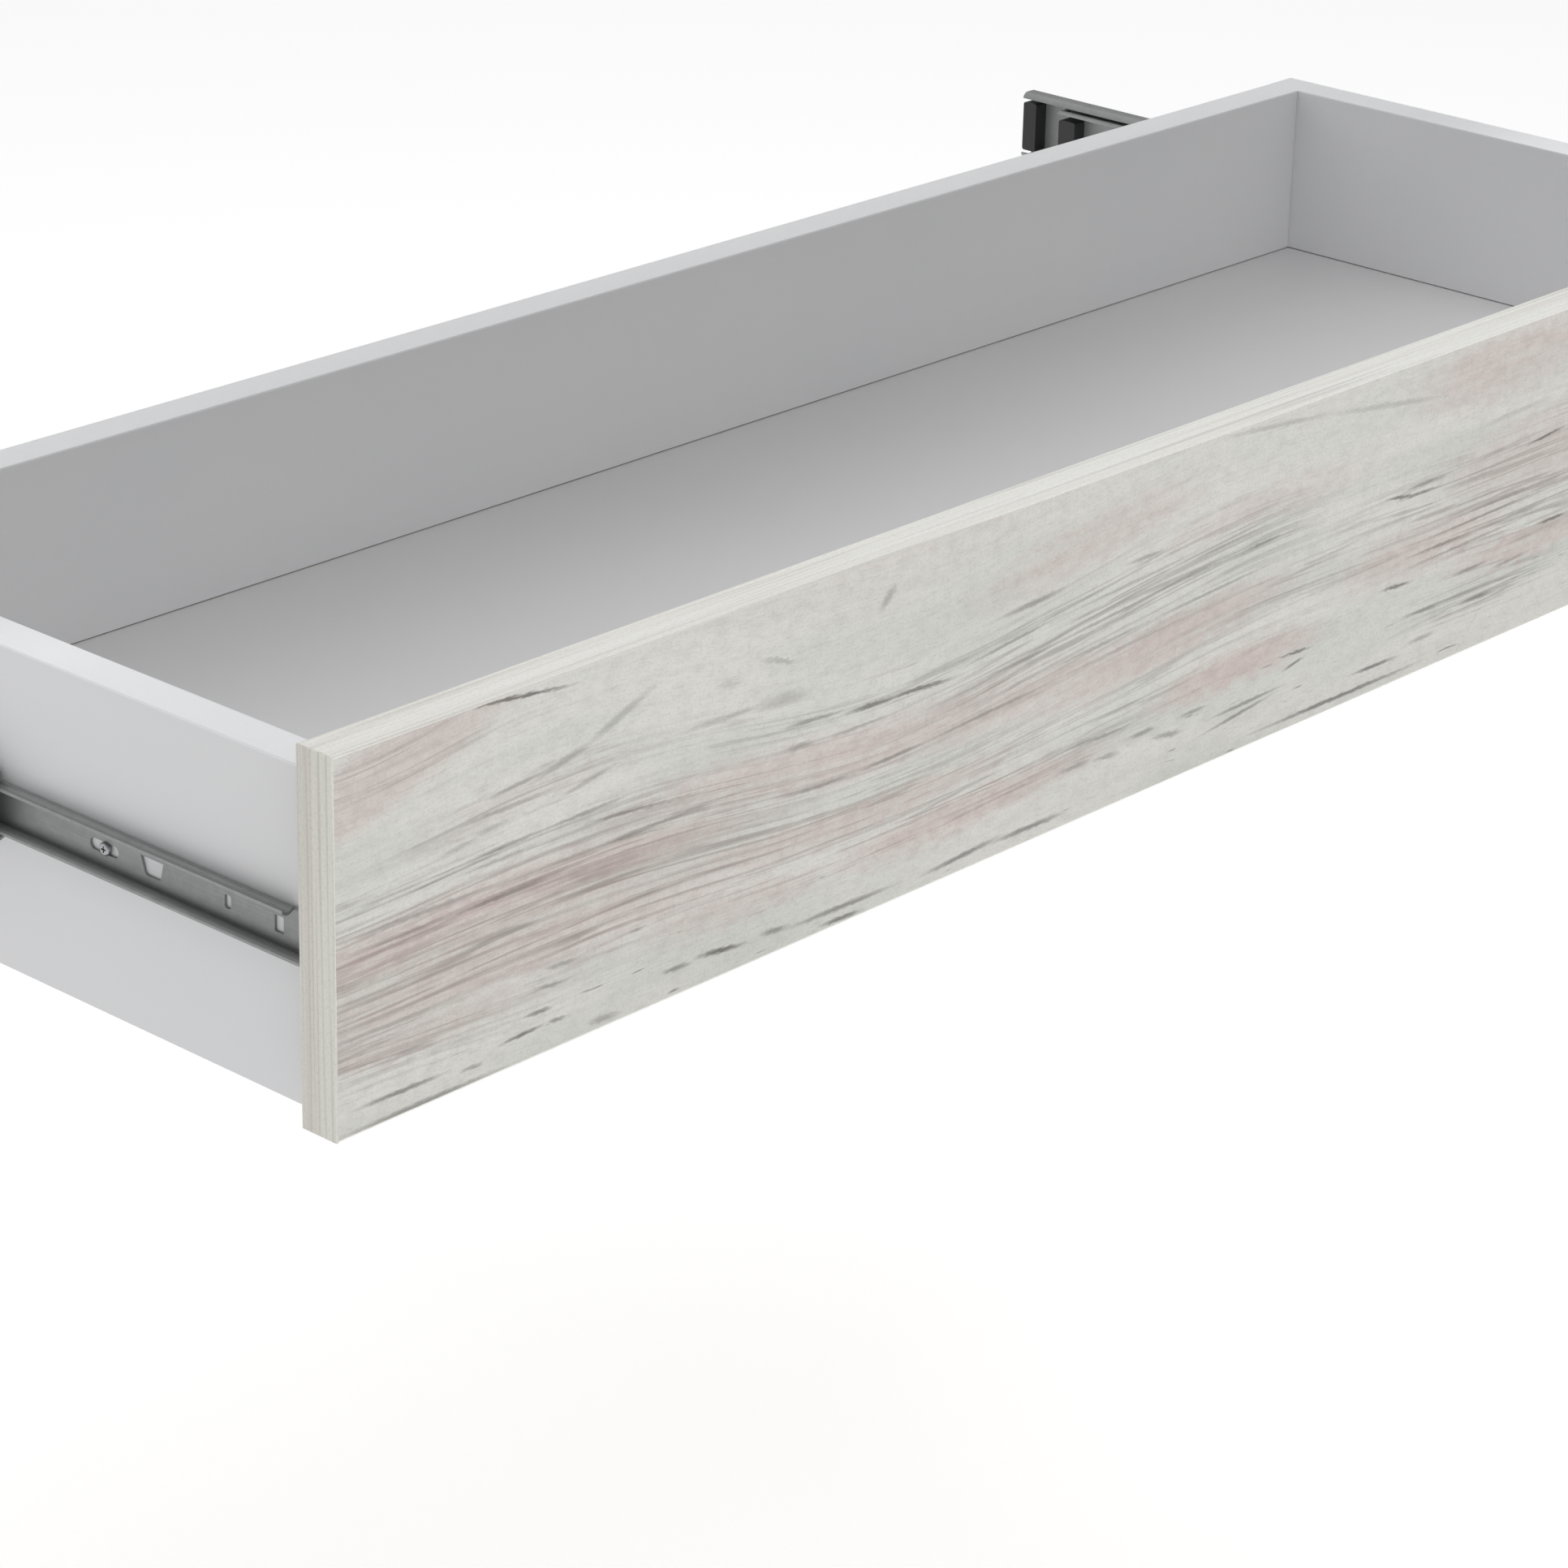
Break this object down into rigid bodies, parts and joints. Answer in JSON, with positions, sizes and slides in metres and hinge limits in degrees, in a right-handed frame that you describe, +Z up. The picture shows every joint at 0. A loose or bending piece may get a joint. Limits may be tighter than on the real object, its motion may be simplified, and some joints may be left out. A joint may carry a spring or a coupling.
{
  "type": "under desk drawer",
  "caption": "Wide shallow drawer with an oak-look front and white box, on a pair of full-extension ball-bearing runners that screw to a desk's side walls.",
  "frame": {"origin": "middle of the carcass opening's front plane, at the height of the runners' centre line; the shut drawer's front face is flush with y = 0", "axes": "+X to the right seen from in front, +Y into the carcass, +Z up; the drawer opens along -Y and is stored 165 mm open"},
  "size_m": [0.9164, 0.484, 0.13],
  "materials": {
    "front_decor": "whitewashed oak print on board, matt",
    "front_edge": "matching striped edge band",
    "white_board": "white melamine on chipboard, satin",
    "white_edge": "white edge band",
    "white_hardboard": "white laminated hardboard, raw brown underneath",
    "runner_steel": "dull zinc-plated rolled steel",
    "cage_steel": "thin stamped steel, greased",
    "ball_steel": "polished bearing steel",
    "zinc_plate": "bright zinc plate",
    "zinc_casting": "die-cast zinc, grainy",
    "beech": "fluted beech, unfinished",
    "white_plastic": "moulded, satin",
    "black_plastic": "moulded, fine texture"
  },
  "bodies": {
    "carcass_rails": {"left_cabinet_member": "runner_steel", "left_cabinet_bumper": "black_plastic", "right_cabinet_member": "runner_steel", "right_cabinet_bumper": "black_plastic"},
    "left_intermediate": {"left_intermediate_member": "runner_steel", "left_intermediate_bumper": "black_plastic"},
    "right_intermediate": {"right_intermediate_member": "runner_steel", "right_intermediate_bumper": "black_plastic"},
    "drawer": {"front_panel": "front_decor", "front_edge_band_left": "front_edge", "front_edge_band_right": "front_edge", "front_edge_band_top": "front_edge", "front_edge_band_bottom": "front_edge", "back_panel": "white_board", "back_top_edge_band": "white_edge", "bottom_panel": "white_hardboard", "bottom_batten": "white_board", "cam_bolts": "zinc_plate", "cam_locks": "zinc_casting", "front_dowels": "beech", "back_dowels": "beech", "confirmat_screws": "zinc_plate", "confirmat_caps": "white_plastic", "left_side_panel": "white_board", "left_side_top_edge_band": "white_edge", "left_side_rear_edge_band": "white_edge", "left_drawer_member": "runner_steel", "left_drawer_member_screws": "zinc_plate", "left_lever_rivet": "zinc_plate", "right_side_panel": "white_board", "right_side_top_edge_band": "white_edge", "right_side_rear_edge_band": "white_edge", "right_drawer_member": "runner_steel", "right_drawer_member_screws": "zinc_plate", "right_lever_rivet": "zinc_plate"},
    "left_outer_cage": {"left_outer_ball_cage": "cage_steel", "left_outer_balls": "ball_steel"},
    "right_outer_cage": {"right_outer_ball_cage": "cage_steel", "right_outer_balls": "ball_steel"},
    "left_inner_cage": {"left_inner_ball_cage": "cage_steel", "left_inner_balls": "ball_steel"},
    "right_inner_cage": {"right_inner_ball_cage": "cage_steel", "right_inner_balls": "ball_steel"},
    "left_lever": {"left_release_lever": "black_plastic"},
    "right_lever": {"right_release_lever": "black_plastic"}
  },
  "joints": [
    {"name": "left_intermediate_slide", "type": "slide", "parent": "carcass_rails", "child": "left_intermediate", "axis": [0, -1, 0], "range_m": [-0.015, 0.135]},
    {"name": "right_intermediate_slide", "type": "slide", "parent": "carcass_rails", "child": "right_intermediate", "axis": [0, -1, 0], "range_m": [-0.015, 0.135]},
    {"name": "drawer_slide", "type": "slide", "parent": "left_intermediate", "child": "drawer", "axis": [0, -1, 0], "range_m": [-0.15, 0]},
    {"name": "left_outer_cage_slide", "type": "slide", "parent": "carcass_rails", "child": "left_outer_cage", "axis": [0, -1, 0], "range_m": [-0.0075, 0.0675]},
    {"name": "right_outer_cage_slide", "type": "slide", "parent": "carcass_rails", "child": "right_outer_cage", "axis": [0, -1, 0], "range_m": [-0.0075, 0.0675]},
    {"name": "left_inner_cage_slide", "type": "slide", "parent": "left_intermediate", "child": "left_inner_cage", "axis": [0, -1, 0], "range_m": [-0.075, 0]},
    {"name": "right_inner_cage_slide", "type": "slide", "parent": "right_intermediate", "child": "right_inner_cage", "axis": [0, -1, 0], "range_m": [-0.075, 0]},
    {"name": "left_lever_pivot", "type": "hinge", "parent": "drawer", "child": "left_lever", "pos_m": [-0.448, 0.063, 0], "axis": [1, 0, 0], "range_deg": [-5, 5], "stiffness_Nm_per_rad": 0.05},
    {"name": "right_lever_pivot", "type": "hinge", "parent": "drawer", "child": "right_lever", "pos_m": [0.448, 0.063, 0], "axis": [1, 0, 0], "range_deg": [-5, 5], "stiffness_Nm_per_rad": 0.05}
  ],
  "couplings": [
    {"joint": "right_intermediate_slide", "follows": "left_intermediate_slide", "ratio": 1},
    {"joint": "left_outer_cage_slide", "follows": "left_intermediate_slide", "ratio": 0.5},
    {"joint": "right_outer_cage_slide", "follows": "left_intermediate_slide", "ratio": 0.5},
    {"joint": "left_inner_cage_slide", "follows": "drawer_slide", "ratio": 0.5},
    {"joint": "right_inner_cage_slide", "follows": "drawer_slide", "ratio": 0.5}
  ]
}
